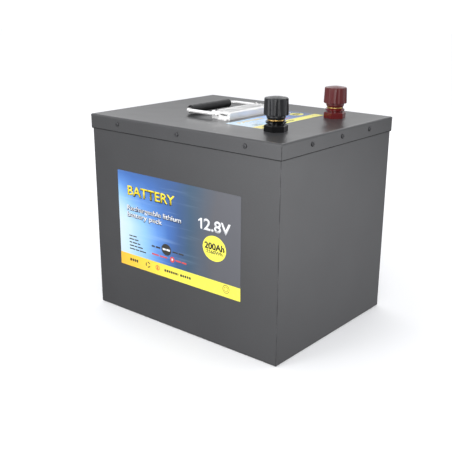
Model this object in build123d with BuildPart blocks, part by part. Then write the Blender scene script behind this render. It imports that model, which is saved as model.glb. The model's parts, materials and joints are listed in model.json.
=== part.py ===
from build123d import *
import os

os.makedirs("parts", exist_ok=True)

# A 12.8 V, 200 Ah rechargeable battery pack: four prismatic cells in series inside a folded
# sheet-steel box with a shoebox lid, a folding handle and two screw-down terminals on the lid.
# +X runs along the label face towards the terminals, +Y from the label face to the back, +Z up.
# The origin is on the floor, under the middle of the box. Every length is in millimetres.

LOW = (Align.CENTER, Align.CENTER, Align.MIN)

# ---------------------------------------------------------------- driving dimensions
# Box and lid
lid_length = 300.0
lid_width = 235.0
lid_top = 258.0
skirt_height = 17.3
sheet = 1.2
lid_gap = 0.3
bend_radius = 2.4
corner_notch = 0.5
case_length = lid_length - 2 * (sheet + lid_gap)
case_width = lid_width - 2 * (sheet + lid_gap)
case_top = lid_top - sheet - lid_gap
inner_x = case_length / 2 - sheet
inner_y = case_width / 2 - sheet
lid_under = lid_top - sheet

# Lid screws, three on each side of the skirt, and the other thread sizes
lid_screw_z = lid_top - 8.4
lid_screw_pitch_x = 101.0
lid_screw_pitch_y = 61.0
m3_radius = 1.5
m4_radius = 2.0
m5_radius = 2.5
m6_radius = 3.0
m5_across_flats = 8.0
m6_across_flats = 10.0

# Labels
label_thickness = 0.2
label_corner_radius = 1.5
front_label_length = 201.0
front_label_height = 125.7
front_label_centre_x = -4.9
front_label_centre_z = 129.2
top_label_length = 128.0
top_label_width = 54.0
top_label_centre_x = 54.0
top_label_centre_y = 2.0

# Handle: an inverted tray, a wire bail that folds towards -X, and a sleeve on its grip
tray_x_low = -12.5
tray_x_high = 16.5
tray_half_length = 42.5
tray_height = 9.0
tray_sheet = 1.5
tray_corner_radius = 1.6
tray_edge_radius = 1.4
pivot_x = -8.8
pivot_z = lid_top + 6.0
pin_radius = 2.3
pin_hole_radius = 2.36
ear_radius = 3.9
bail_half_width = 46.0
bail_grip_x = -51.0
bail_pin_inner_y = 34.0
bail_corner_radius = 6.5
bail_end_radius = 3.2
grip_radius = 5.3
grip_half_length = 37.7
grip_centre_y = -1.3

# Terminals
terminal_x = 100.0
terminal_y = 61.0
hex_across_flats = 24.0
hex_turn = 17.0
hex_height = 7.2
waist_radius = 9.6
rim_radius = 11.7
rim_low = 9.0
rim_high = 10.9
collar_top = 12.1
brass_radius = 9.7
shoulder_top = 12.6
clamp_washer_low = 12.65
clamp_washer_high = 13.35
insert_low = 13.4
insert_flange_top = 14.3
insert_flange_radius = 8.0
insert_radius = 7.0
insert_top = 28.5
stud_radius = 4.0
stud_bore_radius = 4.06
stud_top = 32.5
knob_low = 13.5
knob_foot_radius = 9.8
knob_neck_radius = 10.9
knob_neck_low = 15.9
knob_rib_low = 18.2
knob_top = 37.2
knob_low_radius = 14.1
knob_high_radius = 13.4
flute_count = 8
flute_radius = 5.5
flute_centre_radius = 18.4
m8_across_flats = 13.0
m8_nut_height = 6.5

# Cells, stacked along Y with their wide faces together
cell_length = 174.0
cell_thickness = 54.0
cell_height = 204.0
cell_post_offset = 61.0
cell_edge_radius = 2.0
separator = 1.0
end_plate = 3.0
band = 0.6
bottom_pad_thickness = 3.0
stack_x_low = -143.5
stack_x_high = stack_x_low + cell_length
cell_x = (stack_x_low + stack_x_high) / 2
cell_pitch = cell_thickness + separator
stack_half_width = 2 * cell_thickness + 1.5 * separator + end_plate
cell_low = sheet + bottom_pad_thickness
cell_top = cell_low + cell_height
pad_top = cell_top + 2.0
busbar_top = pad_top + 2.0
cell_y = [(i - 1.5) * cell_pitch for i in range(4)]
left_post_x = cell_x - cell_post_offset
right_post_x = cell_x + cell_post_offset

# Battery management board, upright beside the stack
partition_low_x = stack_x_high + band
partition = 2.0
partition_high_x = partition_low_x + partition
partition_top = 204.0
standoff_length = 6.0
heatsink_low_x = partition_high_x + standoff_length
heatsink_thickness = 6.0
mosfet_thickness = 2.0
board_low_x = heatsink_low_x + heatsink_thickness + mosfet_thickness
board_thickness = 1.6
board_high_x = board_low_x + board_thickness
board_width = 100.0
board_height = 140.0
board_z = 110.0
board_hole_y = 44.0
board_hole_z = 64.0

# Cables
cable_radius = 4.75
lug_barrel_radius = 5.9
lead_radius = 0.9


def rod(points, radii, radius):
    """A round bar or cable along straight runs joined by tangent arcs."""
    with BuildPart() as bar:
        with BuildLine() as path:
            FilletPolyline(*points, radius=radii)
        with BuildSketch(Plane(origin=path.line @ 0, z_dir=path.line % 0)):
            Circle(radius)
        sweep()
    return bar.part


# ---------------------------------------------------------------- box and lid
# Each side of the skirt has a plane whose +X runs along the row of screws and whose +Z is outward.
skirt_front = Plane(origin=(0, -lid_width / 2, lid_screw_z), x_dir=(1, 0, 0), z_dir=(0, -1, 0))
skirt_back = Plane(origin=(0, lid_width / 2, lid_screw_z), x_dir=(-1, 0, 0), z_dir=(0, 1, 0))
skirt_left = Plane(origin=(-lid_length / 2, 0, lid_screw_z), x_dir=(0, -1, 0), z_dir=(-1, 0, 0))
skirt_right = Plane(origin=(lid_length / 2, 0, lid_screw_z), x_dir=(0, 1, 0), z_dir=(1, 0, 0))
skirt_rows = [
    (skirt_front, lid_screw_pitch_x),
    (skirt_back, lid_screw_pitch_x),
    (skirt_left, lid_screw_pitch_y),
    (skirt_right, lid_screw_pitch_y),
]
skirt_screw_places = []
for row, pitch in skirt_rows:
    for step in (-1, 0, 1):
        skirt_screw_places.append(row.location * Location((step * pitch, 0, 0)))

# Case: a folded tub with welded upright corners, each showing the fine line of its seam.
clinch_shank_radius = 2.7
clinch_drill_length = 12.0
with BuildPart() as case_shell:
    Box(case_length, case_width, case_top, align=LOW)
    fillet(case_shell.faces().sort_by(Axis.Z)[0].edges(), bend_radius)
    with BuildSketch(Plane.XY.offset(sheet)):
        Rectangle(2 * inner_x, 2 * inner_y)
    extrude(amount=case_top, mode=Mode.SUBTRACT)
    with BuildSketch(Plane.XY.offset(bend_radius)):
        with GridLocations(case_length, case_width, 2, 2):
            Rectangle(2 * corner_notch, 2 * corner_notch)
    extrude(amount=case_top, mode=Mode.SUBTRACT)
    with Locations(skirt_screw_places):
        Cylinder(clinch_shank_radius, clinch_drill_length, mode=Mode.SUBTRACT)
case_shell.part.label = "case_shell"
export_step(case_shell.part, "parts/case_shell.step")

# Lid: a shallow shoebox lid whose skirt overlaps the case.
lid_hole_radius = 8.0
handle_bolt_x = (tray_x_low + tray_x_high) / 2
handle_bolt_pitch = 56.0
handle_bolt_places = [(handle_bolt_x, side * handle_bolt_pitch / 2) for side in (-1, 1)]
terminal_places = [(terminal_x, -terminal_y), (terminal_x, terminal_y)]
with BuildPart() as lid:
    with BuildSketch(Plane.XY.offset(lid_top - skirt_height)):
        Rectangle(lid_length, lid_width)
    extrude(amount=skirt_height)
    fillet(lid.faces().sort_by(Axis.Z)[-1].edges(), bend_radius)
    with BuildSketch(Plane.XY.offset(lid_top - skirt_height)):
        Rectangle(lid_length - 2 * sheet, lid_width - 2 * sheet)
    extrude(amount=skirt_height - sheet, mode=Mode.SUBTRACT)
    with BuildSketch(Plane.XY.offset(lid_top - skirt_height)):
        with GridLocations(lid_length, lid_width, 2, 2):
            Rectangle(2 * corner_notch, 2 * corner_notch)
    extrude(amount=skirt_height - bend_radius, mode=Mode.SUBTRACT)
    with Locations(skirt_screw_places):
        Cylinder(m4_radius, 2 * sheet + lid_gap, mode=Mode.SUBTRACT)
    with BuildSketch(Plane.XY.offset(lid_under)):
        with Locations(*terminal_places):
            Circle(lid_hole_radius)
        with Locations(*handle_bolt_places):
            Circle(m5_radius)
    extrude(amount=sheet, mode=Mode.SUBTRACT)
lid.part.label = "lid"
export_step(lid.part, "parts/lid.step")

# Bead of black sealing rubber round the case, squeezed under the edge of the skirt.
seal_height = 1.2
seal_inset = 0.3
with BuildPart() as lid_seal:
    with BuildSketch(Plane.XY.offset(lid_top - skirt_height)):
        Rectangle(lid_length - 2 * seal_inset, lid_width - 2 * seal_inset)
        Rectangle(case_length, case_width, mode=Mode.SUBTRACT)
    extrude(amount=-seal_height)
    fillet(lid_seal.faces().sort_by(Axis.Z)[0].outer_wire().edges(), 0.4)
lid_seal.part.label = "lid_seal"
export_step(lid_seal.part, "parts/lid_seal.step")

# Lid screws: M4 button heads with a cross recess. Each local frame has +Z out of the skirt.
screw_head_radius = 2.8
screw_head_height = 1.3
screw_head_rounding = 1.0
screw_recess_length = 2.6
screw_recess_width = 0.6
screw_recess_depth = 0.8
screw_length = 7.0
with BuildPart() as lid_screw:
    with BuildSketch():
        Circle(screw_head_radius)
    extrude(amount=screw_head_height)
    fillet(lid_screw.faces().sort_by(Axis.Z)[-1].edges(), screw_head_rounding)
    with BuildSketch(Plane.XY.offset(screw_head_height)):
        Rectangle(screw_recess_length, screw_recess_width)
        Rectangle(screw_recess_width, screw_recess_length)
    extrude(amount=-screw_recess_depth, mode=Mode.SUBTRACT)
    with BuildSketch():
        Circle(m4_radius)
    extrude(amount=-screw_length)
with BuildPart() as lid_screws:
    with Locations(skirt_screw_places):
        add(lid_screw.part)
lid_screws.part.label = "lid_screws"
export_step(lid_screws.part, "parts/lid_screws.step")

# Clinch nuts pressed into the case wall from the inside.
clinch_flange_radius = 4.1
clinch_flange_height = 3.0
with BuildPart() as clinch_nut:
    with BuildSketch(Plane.XY.offset(-sheet - lid_gap)):
        Circle(clinch_shank_radius)
        Circle(m4_radius, mode=Mode.SUBTRACT)
    extrude(amount=-sheet)
    with BuildSketch(Plane.XY.offset(-2 * sheet - lid_gap)):
        Circle(clinch_flange_radius)
        Circle(m4_radius, mode=Mode.SUBTRACT)
    extrude(amount=-clinch_flange_height)
with BuildPart() as clinch_nuts:
    with Locations(skirt_screw_places):
        add(clinch_nut.part)
clinch_nuts.part.label = "clinch_nuts"
export_step(clinch_nuts.part, "parts/clinch_nuts.step")

# ---------------------------------------------------------------- labels
with BuildPart() as front_label:
    with BuildSketch(Plane.XZ.offset(case_width / 2)):
        with Locations((front_label_centre_x, front_label_centre_z)):
            RectangleRounded(front_label_length, front_label_height, label_corner_radius)
    extrude(amount=label_thickness)
front_label.part.label = "front_label"
export_step(front_label.part, "parts/front_label.step")

with BuildPart() as top_label:
    with BuildSketch(Plane.XY.offset(lid_top)):
        with Locations((top_label_centre_x, top_label_centre_y)):
            RectangleRounded(top_label_width, top_label_length, label_corner_radius)
    extrude(amount=label_thickness)
top_label.part.label = "top_label"
export_step(top_label.part, "parts/top_label.step")

# ---------------------------------------------------------------- handle
tray_width = tray_x_high - tray_x_low
tray_x = (tray_x_low + tray_x_high) / 2
end_planes = [
    Plane(origin=(0, -tray_half_length, lid_top), x_dir=(1, 0, 0), z_dir=(0, -1, 0)),
    Plane(origin=(0, tray_half_length, lid_top), x_dir=(-1, 0, 0), z_dir=(0, 1, 0)),
]
notch_x = -5.2
notch_length = 10.0
notch_y = tray_half_length - tray_sheet - notch_length / 2
groove_x = tray_x_high - 2.4
groove_width = 1.0
groove_depth = 0.8
groove_length = 2 * tray_half_length - 8
foot_length = 15.0
foot_reach = 5.0
foot_corner_radius = 3.0
stop_x = pivot_x + pin_radius + 0.3
stop_middle = 6.6
stop_height = 3.8
stop_reach = 6.0
locating_hole_x = -1.9
locating_hole_height = 4.2
locating_hole_radius = 1.5
slot_x = 7.6
slot_middle = 5.6
slot_length = 11.0
slot_width = 1.6

# Pressed tray, open underneath, with a groove along its top. Each end wall has an ear for the
# bail's pin, a tab that stops the upright bail, a locating hole, a slot, and a foot turned
# outwards along the lid.
with BuildPart() as handle_base:
    with BuildSketch(Plane.XY.offset(lid_top)):
        with Locations((tray_x, 0)):
            Rectangle(tray_width, 2 * tray_half_length)
    extrude(amount=tray_height)
    fillet(handle_base.edges().filter_by(Axis.Z), tray_corner_radius)
    fillet(handle_base.faces().sort_by(Axis.Z)[-1].edges(), tray_edge_radius)
    with BuildSketch(Plane.XY.offset(lid_top)):
        with Locations((tray_x, 0)):
            Rectangle(tray_width - 2 * tray_sheet, 2 * (tray_half_length - tray_sheet))
    extrude(amount=tray_height - tray_sheet, mode=Mode.SUBTRACT)
    with BuildSketch(Plane.XY.offset(lid_top)):
        for side in (-1, 1):
            with Locations(((notch_x + tray_x_low) / 2, side * notch_y)):
                Rectangle(notch_x - tray_x_low, notch_length)
    extrude(amount=tray_height, mode=Mode.SUBTRACT)
    with BuildSketch(Plane.XY.offset(lid_top + tray_height)):
        with Locations((groove_x, 0)):
            Rectangle(groove_width, groove_length)
    extrude(amount=-groove_depth, mode=Mode.SUBTRACT)
    for plane, side in zip(end_planes, (1, -1)):
        with BuildSketch(plane):
            with Locations((side * pivot_x, pivot_z - lid_top)):
                Circle(ear_radius)
        extrude(amount=-tray_sheet)
        with BuildSketch(plane):
            with Locations((side * (stop_x + tray_sheet / 2), stop_middle)):
                Rectangle(tray_sheet, stop_height)
        extrude(amount=stop_reach)
        with BuildSketch(plane):
            with Locations((side * foot_length / 2, tray_sheet / 2)):
                Rectangle(foot_length, tray_sheet)
        extrude(amount=foot_reach)
        with BuildSketch(plane):
            with Locations((side * pivot_x, pivot_z - lid_top)):
                Circle(pin_hole_radius)
            with Locations((side * locating_hole_x, locating_hole_height)):
                Circle(locating_hole_radius)
            with Locations((side * slot_x, slot_middle)):
                SlotOverall(slot_length, slot_width)
        extrude(amount=-tray_sheet, mode=Mode.SUBTRACT)
    foot_end = tray_half_length + foot_reach
    upright_edges = handle_base.edges().filter_by(Axis.Z)
    foot_corners = upright_edges.filter_by_position(Axis.Y, foot_end - 0.1, foot_end + 0.1)
    foot_corners += upright_edges.filter_by_position(Axis.Y, -foot_end - 0.1, -foot_end + 0.1)
    fillet(foot_corners, foot_corner_radius)
handle_base.part.label = "handle_base"
export_step(handle_base.part, "parts/handle_base.step")

# Strip welded inside the tray; it carries the two weld nuts that the handle bolts go into.
floor_plate_length = 60.0
with BuildPart() as handle_floor_plate:
    with BuildSketch(Plane.XY.offset(lid_top)):
        with Locations((tray_x, 0)):
            Rectangle(tray_width - 2 * tray_sheet, floor_plate_length)
        with Locations(*handle_bolt_places):
            Circle(m5_radius, mode=Mode.SUBTRACT)
    extrude(amount=tray_sheet)
handle_floor_plate.part.label = "handle_floor_plate"
export_step(handle_floor_plate.part, "parts/handle_floor_plate.step")

weld_nut_height = 4.0
with BuildPart() as handle_nuts:
    with BuildSketch(Plane.XY.offset(lid_top + tray_sheet)):
        with Locations(*handle_bolt_places):
            RegularPolygon(m5_across_flats / 2, 6, major_radius=False)
            Circle(m5_radius, mode=Mode.SUBTRACT)
    extrude(amount=weld_nut_height)
handle_nuts.part.label = "handle_nuts"
export_step(handle_nuts.part, "parts/handle_nuts.step")

# Stiffening plate under the lid, so that the handle's pull isn't taken by the thin sheet alone.
backing_plate = 2.5
backing_plate_width = 46.0
backing_plate_length = 96.0
backing_plate_corner = 5.0
with BuildPart() as handle_backing_plate:
    with BuildSketch(Plane.XY.offset(lid_under - backing_plate)):
        with Locations((handle_bolt_x, 0)):
            RectangleRounded(backing_plate_width, backing_plate_length, backing_plate_corner)
        with Locations(*handle_bolt_places):
            Circle(m5_radius, mode=Mode.SUBTRACT)
    extrude(amount=backing_plate)
handle_backing_plate.part.label = "handle_backing_plate"
export_step(handle_backing_plate.part, "parts/handle_backing_plate.step")

bolt_head_height = 3.5
bolt_shank_length = backing_plate + sheet + tray_sheet + 5.0
with BuildPart() as handle_bolts:
    with BuildSketch(Plane.XY.offset(lid_under - backing_plate)):
        with Locations(*handle_bolt_places):
            RegularPolygon(m5_across_flats / 2, 6, major_radius=False)
    extrude(amount=-bolt_head_height)
    with BuildSketch(Plane.XY.offset(lid_under - backing_plate)):
        with Locations(*handle_bolt_places):
            Circle(m5_radius)
    extrude(amount=bolt_shank_length)
handle_bolts.part.label = "handle_bolts"
export_step(handle_bolts.part, "parts/handle_bolts.step")

# Bail: one bent wire whose turned-in ends are the hinge pins.
bail_points = [
    (pivot_x, -bail_pin_inner_y, pivot_z),
    (pivot_x, -bail_half_width, pivot_z),
    (bail_grip_x, -bail_half_width, pivot_z),
    (bail_grip_x, bail_half_width, pivot_z),
    (pivot_x, bail_half_width, pivot_z),
    (pivot_x, bail_pin_inner_y, pivot_z),
]
bail_bends = [bail_end_radius, bail_corner_radius, bail_corner_radius, bail_end_radius]
pin_chamfer = 0.4
with BuildPart() as handle_bail:
    add(rod(bail_points, bail_bends, pin_radius))
    chamfer(handle_bail.faces().filter_by(GeomType.PLANE).edges(), pin_chamfer)
handle_bail.part.label = "handle_bail"
export_step(handle_bail.part, "parts/handle_bail.step")

# Sleeve pushed over the wire, a little nearer to the front corner than to the back one.
grip_end_rounding = 0.8
grip_end = Plane(origin=(bail_grip_x, grip_centre_y - grip_half_length, pivot_z), z_dir=(0, 1, 0))
with BuildPart() as handle_grip:
    with BuildSketch(grip_end):
        Circle(grip_radius)
    extrude(amount=2 * grip_half_length)
    fillet(handle_grip.edges().filter_by(GeomType.CIRCLE), grip_end_rounding)
    with BuildSketch(grip_end):
        Circle(pin_radius)
    extrude(amount=2 * grip_half_length, mode=Mode.SUBTRACT)
handle_grip.part.label = "handle_grip"
export_step(handle_grip.part, "parts/handle_grip.step")

# ---------------------------------------------------------------- terminals
insulator_radius = 13.0
insulator_thickness = 5.0
washer_radius = 8.5
washer_thickness = 1.6
lug_thickness = 2.5
spring_washer_radius = 7.2
spring_washer_thickness = 2.0
spring_washer_cut = 0.8
insulator_low = lid_under - insulator_thickness
washer_low = insulator_low - washer_thickness
upper_nut_low = washer_low - m8_nut_height
stud_lug_low = upper_nut_low - lug_thickness
spring_washer_low = stud_lug_low - spring_washer_thickness
lower_nut_low = spring_washer_low - m8_nut_height
stud_low = lower_nut_low - 2.5
stud_tip = 0.7
body_radius = 6.0
body_low = 2.0
hex_chamfer = 0.9
knob_edge_radius = 1.1
crown_radius = 11.2
crown_height = 1.6
knob_bore_radius = stud_bore_radius + 0.5
knob_bore_top = stud_top + 0.6


def turned(pole_y, outline):
    """Spin an outline of (radius, height over the lid) points about a terminal's upright axis."""
    with BuildPart() as piece:
        with BuildSketch(Plane(origin=(terminal_x, pole_y, lid_top), x_dir=(1, 0, 0), z_dir=(0, -1, 0))):
            with BuildLine():
                Polyline(*outline, close=True)
            make_face()
        revolve(axis=Axis((terminal_x, pole_y, 0), (0, 0, 1)))
    return piece.part


for pole, pole_y in (("negative", -terminal_y), ("positive", terminal_y)):
    # Insulating foot: a hexagon with a waisted collar above and a spigot through the lid.
    with BuildPart() as terminal_base:
        with BuildSketch(Plane.XY.offset(lid_top)):
            with Locations((terminal_x, pole_y)):
                RegularPolygon(hex_across_flats / 2, 6, major_radius=False, rotation=hex_turn + 30)
        extrude(amount=hex_height)
        chamfer(terminal_base.faces().sort_by(Axis.Z)[-1].edges(), hex_chamfer)
        add(
            turned(
                pole_y,
                [
                    (0, -sheet),
                    (lid_hole_radius, -sheet),
                    (lid_hole_radius, 0),
                    (lid_hole_radius, hex_height),
                    (waist_radius, hex_height),
                    (waist_radius, rim_low - 0.4),
                    (rim_radius, rim_low + 0.3),
                    (rim_radius, rim_high),
                    (brass_radius + 0.5, collar_top),
                    (0, collar_top),
                ],
            )
        )
        add(
            turned(
                pole_y,
                [
                    (0, -sheet),
                    (stud_radius, -sheet),
                    (stud_radius, body_low),
                    (body_radius, body_low),
                    (body_radius, collar_top),
                    (0, collar_top),
                ],
            ),
            mode=Mode.SUBTRACT,
        )
    terminal_base.part.label = f"{pole}_base"
    export_step(terminal_base.part, f"parts/{pole}_base.step")

    # Brass stud, with the shoulder that the clamped lug and washer bear on.
    with BuildPart() as stud:
        add(
            turned(
                pole_y,
                [
                    (0, stud_low - lid_top),
                    (stud_radius - stud_tip, stud_low - lid_top),
                    (stud_radius, stud_low - lid_top + stud_tip),
                    (stud_radius, body_low),
                    (body_radius, body_low),
                    (body_radius, collar_top),
                    (brass_radius, collar_top),
                    (brass_radius, shoulder_top),
                    (stud_radius, shoulder_top),
                    (stud_radius, stud_top - stud_tip),
                    (stud_radius - stud_tip, stud_top),
                    (0, stud_top),
                ],
            )
        )
    stud.part.label = f"{pole}_stud"
    export_step(stud.part, f"parts/{pole}_stud.step")

    # Captive clamp washer, which rises and falls with the knob.
    with BuildPart() as clamp_washer:
        add(
            turned(
                pole_y,
                [
                    (stud_bore_radius, clamp_washer_low),
                    (brass_radius, clamp_washer_low),
                    (brass_radius, clamp_washer_high),
                    (stud_bore_radius, clamp_washer_high),
                ],
            )
        )
    clamp_washer.part.label = f"{pole}_clamp_washer"
    export_step(clamp_washer.part, f"parts/{pole}_clamp_washer.step")

    # Threaded brass bush moulded into the knob.
    with BuildPart() as insert:
        add(
            turned(
                pole_y,
                [
                    (stud_bore_radius, insert_low),
                    (insert_flange_radius, insert_low),
                    (insert_flange_radius, insert_flange_top),
                    (insert_radius, insert_flange_top),
                    (insert_radius, insert_top),
                    (stud_bore_radius, insert_top),
                ],
            )
        )
    insert.part.label = f"{pole}_knob_insert"
    export_step(insert.part, f"parts/{pole}_knob_insert.step")

    # Fluted knob with a round-edged neck, a crowned top and a blind bore.
    with BuildPart() as knob:
        add(
            turned(
                pole_y,
                [
                    (0, knob_low),
                    (knob_foot_radius, knob_low),
                    (knob_neck_radius - 0.4, knob_neck_low - 1.2),
                    (knob_neck_radius, knob_neck_low),
                    (knob_neck_radius, knob_rib_low),
                    (knob_low_radius - 0.5, knob_rib_low),
                    (knob_low_radius, knob_rib_low + 0.8),
                    (knob_high_radius, knob_top),
                    (0, knob_top),
                ],
            )
        )
        with BuildSketch(Plane.XY.offset(lid_top + knob_rib_low)):
            with Locations((terminal_x, pole_y)):
                with PolarLocations(flute_centre_radius, flute_count):
                    Circle(flute_radius)
        extrude(amount=knob_top, mode=Mode.SUBTRACT)
        fillet(knob.faces().sort_by(Axis.Z)[-1].edges(), knob_edge_radius)
        crown_plane = Plane(
            origin=(terminal_x, pole_y, lid_top + knob_top),
            x_dir=(1, 0, 0),
            z_dir=(0, -1, 0),
        )
        with BuildSketch(crown_plane):
            with BuildLine():
                TangentArc((0, crown_height), (crown_radius, 0), tangent=(1, 0))
                Polyline((crown_radius, 0), (0, 0), (0, crown_height))
            make_face()
        revolve(axis=Axis((terminal_x, pole_y, 0), (0, 0, 1)))
        add(
            turned(
                pole_y,
                [
                    (0, knob_low),
                    (insert_flange_radius, knob_low),
                    (insert_flange_radius, insert_flange_top),
                    (insert_radius, insert_flange_top),
                    (insert_radius, insert_top),
                    (knob_bore_radius, insert_top),
                    (knob_bore_radius, knob_bore_top),
                    (0, knob_bore_top),
                ],
            ),
            mode=Mode.SUBTRACT,
        )
    knob.part.label = f"{pole}_knob"
    export_step(knob.part, f"parts/{pole}_knob.step")

    # Insulating washer under the lid.
    with BuildPart() as insulator:
        with BuildSketch(Plane.XY.offset(insulator_low)):
            with Locations((terminal_x, pole_y)):
                Circle(insulator_radius)
                Circle(stud_radius, mode=Mode.SUBTRACT)
        extrude(amount=insulator_thickness)
    insulator.part.label = f"{pole}_insulator"
    export_step(insulator.part, f"parts/{pole}_insulator.step")

with BuildPart() as stud_nuts:
    for height in (upper_nut_low, lower_nut_low):
        with BuildSketch(Plane.XY.offset(height)):
            with Locations(*terminal_places):
                RegularPolygon(m8_across_flats / 2, 6, major_radius=False)
                Circle(stud_radius, mode=Mode.SUBTRACT)
        extrude(amount=m8_nut_height)
stud_nuts.part.label = "stud_nuts"
export_step(stud_nuts.part, "parts/stud_nuts.step")

with BuildPart() as stud_washers:
    with BuildSketch(Plane.XY.offset(washer_low)):
        with Locations(*terminal_places):
            Circle(washer_radius)
            Circle(stud_radius, mode=Mode.SUBTRACT)
    extrude(amount=washer_thickness)
stud_washers.part.label = "stud_washers"
export_step(stud_washers.part, "parts/stud_washers.step")

# Split spring washers, each cut through once.
spring_washer_middle = (stud_radius + spring_washer_radius) / 2
spring_washer_cuts = [(x, y + spring_washer_middle) for x, y in terminal_places]
with BuildPart() as stud_spring_washers:
    with BuildSketch(Plane.XY.offset(spring_washer_low)):
        with Locations(*terminal_places):
            Circle(spring_washer_radius)
            Circle(stud_radius, mode=Mode.SUBTRACT)
        with Locations(*spring_washer_cuts):
            Rectangle(spring_washer_cut, 5.0, rotation=20, mode=Mode.SUBTRACT)
    extrude(amount=spring_washer_thickness)
stud_spring_washers.part.label = "stud_spring_washers"
export_step(stud_spring_washers.part, "parts/stud_spring_washers.step")

# ---------------------------------------------------------------- cell stack
post_pad_radius = 9.0
post_stud_height = 9.0
vent_length = 24.0
vent_width = 12.0
vent_height = 0.5
separator_length = cell_length - 4
separator_height = cell_height - 4
end_plate_height = cell_height - 10
band_width = 16.0
band_heights = (50.0, 150.0)
for number, y in enumerate(cell_y, start=1):
    with BuildPart() as cell:
        with BuildSketch(Plane.XY.offset(cell_low)):
            with Locations((cell_x, y)):
                RectangleRounded(cell_length, cell_thickness, cell_edge_radius)
        extrude(amount=cell_height)
        fillet(cell.faces().sort_by(Axis.Z)[-1].edges(), cell_edge_radius / 2)
    cell.part.label = f"cell_{number}"
    export_step(cell.part, f"parts/cell_{number}.step")

post_places = [(x, y) for x in (left_post_x, right_post_x) for y in cell_y]
with BuildPart() as cell_posts:
    with BuildSketch(Plane.XY.offset(cell_top)):
        with Locations(*post_places):
            Circle(post_pad_radius)
    extrude(amount=pad_top - cell_top)
    with BuildSketch(Plane.XY.offset(pad_top)):
        with Locations(*post_places):
            Circle(m6_radius)
    extrude(amount=post_stud_height)
cell_posts.part.label = "cell_posts"
export_step(cell_posts.part, "parts/cell_posts.step")

with BuildPart() as cell_vents:
    with BuildSketch(Plane.XY.offset(cell_top)):
        with Locations(*[(cell_x, y) for y in cell_y]):
            SlotOverall(vent_length, vent_width)
    extrude(amount=vent_height)
cell_vents.part.label = "cell_vents"
export_step(cell_vents.part, "parts/cell_vents.step")

with BuildPart() as cell_separators:
    for y in (-cell_pitch, 0, cell_pitch):
        with Locations((cell_x, y, cell_low)):
            Box(separator_length, separator, separator_height, align=LOW)
cell_separators.part.label = "cell_separators"
export_step(cell_separators.part, "parts/cell_separators.step")

with BuildPart() as end_plates:
    for side in (-1, 1):
        with Locations((cell_x, side * (stack_half_width - end_plate / 2), cell_low)):
            Box(cell_length, end_plate, end_plate_height, align=LOW)
    fillet(end_plates.edges().filter_by(Axis.Z), 0.4 * end_plate)
end_plates.part.label = "end_plates"
export_step(end_plates.part, "parts/end_plates.step")

# Two tensioned steel bands hold the cells between the end plates.
with BuildPart() as stack_bands:
    for height in band_heights:
        with BuildSketch(Plane.XY.offset(height)):
            with Locations((cell_x, 0)):
                Rectangle(cell_length + 2 * band, 2 * (stack_half_width + band))
                Rectangle(cell_length, 2 * stack_half_width, mode=Mode.SUBTRACT)
        extrude(amount=band_width)
stack_bands.part.label = "stack_bands"
export_step(stack_bands.part, "parts/stack_bands.step")

# Busbars join the cells in series: left, right, left.
busbar_width = 20.0
busbar_places = [
    (left_post_x, (cell_y[0] + cell_y[1]) / 2),
    (right_post_x, (cell_y[1] + cell_y[2]) / 2),
    (left_post_x, (cell_y[2] + cell_y[3]) / 2),
]
for number, (x, y) in enumerate(busbar_places, start=1):
    with BuildPart() as busbar:
        with BuildSketch(Plane.XY.offset(pad_top)):
            with Locations((x, y)):
                SlotOverall(cell_pitch + busbar_width, busbar_width, rotation=90)
            with Locations((x, y - cell_pitch / 2), (x, y + cell_pitch / 2)):
                Circle(m6_radius, mode=Mode.SUBTRACT)
        extrude(amount=busbar_top - pad_top)
    busbar.part.label = f"busbar_{number}"
    export_step(busbar.part, f"parts/busbar_{number}.step")

m6_nut_height = 5.0
with BuildPart() as busbar_nuts:
    with BuildSketch(Plane.XY.offset(busbar_top)):
        with Locations(*post_places):
            RegularPolygon(m6_across_flats / 2, 6, major_radius=False)
            Circle(m6_radius, mode=Mode.SUBTRACT)
    extrude(amount=m6_nut_height)
busbar_nuts.part.label = "busbar_nuts"
export_step(busbar_nuts.part, "parts/busbar_nuts.step")

# ---------------------------------------------------------------- pads and insulation
pad_low = 8.0
pad_height = 180.0
side_pad_length = 150.0
long_pad_width = 200.0
foam_strip_width = 36.0
foam_strip_places = (-115.0, -65.0)
with BuildPart() as bottom_pad:
    with Locations((cell_x, 0, sheet)):
        Box(cell_length, 2 * stack_half_width, bottom_pad_thickness, align=LOW)
bottom_pad.part.label = "bottom_pad"
export_step(bottom_pad.part, "parts/bottom_pad.step")

side_pad = inner_y - stack_half_width - band
with BuildPart() as side_pads:
    for side in (-1, 1):
        with Locations((cell_x, side * (inner_y - side_pad / 2), pad_low)):
            Box(side_pad_length, side_pad, pad_height, align=LOW)
side_pads.part.label = "side_pads"
export_step(side_pads.part, "parts/side_pads.step")

left_pad_thickness = inner_x + stack_x_low - band
with BuildPart() as left_pad:
    with Locations((-inner_x + left_pad_thickness / 2, 0, pad_low)):
        Box(left_pad_thickness, long_pad_width, pad_height, align=LOW)
left_pad.part.label = "left_pad"
export_step(left_pad.part, "parts/left_pad.step")

with BuildPart() as partition_board:
    with Locations((partition_low_x + partition / 2, 0, sheet)):
        Box(partition, 2 * stack_half_width, partition_top - sheet, align=LOW)
partition_board.part.label = "partition_board"
export_step(partition_board.part, "parts/partition_board.step")

# The clear sheet rests on the tips of the cells' studs and stops short of the cable lugs.
insulator_sheet_low = pad_top + post_stud_height
insulator_sheet = 1.0
insulator_sheet_x_low = stack_x_low + 2
insulator_sheet_length = right_post_x + 8 - insulator_sheet_x_low
insulator_sheet_width = 2 * stack_half_width - 6
with BuildPart() as top_insulator:
    with Locations((insulator_sheet_x_low + insulator_sheet_length / 2, 0, insulator_sheet_low)):
        Box(insulator_sheet_length, insulator_sheet_width, insulator_sheet, align=LOW)
top_insulator.part.label = "top_insulator"
export_step(top_insulator.part, "parts/top_insulator.step")

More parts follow.
